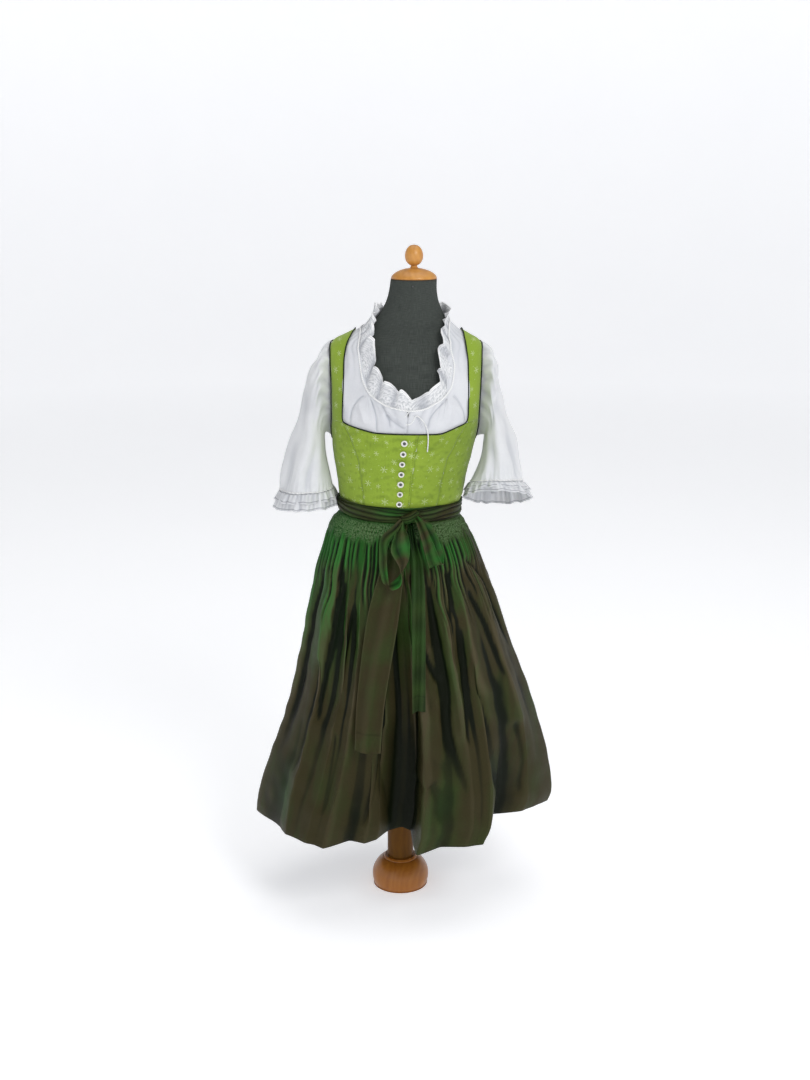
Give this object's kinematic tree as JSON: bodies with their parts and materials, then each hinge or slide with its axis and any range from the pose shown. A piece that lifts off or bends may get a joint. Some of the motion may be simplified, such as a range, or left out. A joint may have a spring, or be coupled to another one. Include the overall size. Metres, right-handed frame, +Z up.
{
  "type": "dirndl dress on limbless dress form",
  "caption": "Dirndl with a frill-sleeved white blouse, buttoned lime bodice, dark skirt and shot taffeta apron tied in a bow, worn by a limbless dress form on a wooden stand.",
  "frame": {"origin": "middle of the stand foot's underside, on the post's axis", "axes": "+Z up, -Y towards the dress's front, +X towards the wearer's left"},
  "size_m": [0.6352, 0.4777, 1.3775],
  "materials": {
    "form_linen": "matte woven cover",
    "honey_wood": "satin varnish",
    "dark_wood": "satin varnish",
    "white_cotton": "matte",
    "frill_voile": "matte, sheer",
    "white_cord": "matte",
    "lime_cotton": "matte print",
    "dark_piping": "soft sheen",
    "ringed_button": "semi-gloss",
    "dark_skirt": "matte",
    "shot_taffeta": "crisp sheen"
  },
  "bodies": {
    "root": {"apron_band": "shot_taffeta", "apron_panel": "shot_taffeta", "apron_ties": "shot_taffeta", "armhole_piping_left": "dark_piping", "armhole_piping_right": "dark_piping", "blouse_back": "white_cotton", "blouse_front_left": "white_cotton", "blouse_front_right": "white_cotton", "bodice_back": "lime_cotton", "bodice_front_left": "lime_cotton", "bodice_front_right": "lime_cotton", "bodice_side_left": "lime_cotton", "bodice_side_right": "lime_cotton", "bow_knot": "shot_taffeta", "bow_loop_left": "shot_taffeta", "bow_loop_right": "shot_taffeta", "bow_tail_left": "shot_taffeta", "bow_tail_right": "shot_taffeta", "button_1": "ringed_button", "button_2": "ringed_button", "button_3": "ringed_button", "button_4": "ringed_button", "button_5": "ringed_button", "button_6": "ringed_button", "button_7": "ringed_button", "drawstring": "white_cord", "form_torso": "form_linen", "neck_cap": "honey_wood", "neck_casing": "white_cord", "neck_finial": "honey_wood", "neck_frill": "frill_voile", "neckline_piping": "dark_piping", "skirt_back": "dark_skirt", "skirt_front": "dark_skirt", "sleeve_frill_left": "frill_voile", "sleeve_frill_right": "frill_voile", "sleeve_left": "white_cotton", "sleeve_right": "white_cotton", "stand_foot": "dark_wood", "stand_post": "honey_wood", "strap_left": "lime_cotton", "strap_right": "lime_cotton"}
  },
  "joints": []
}
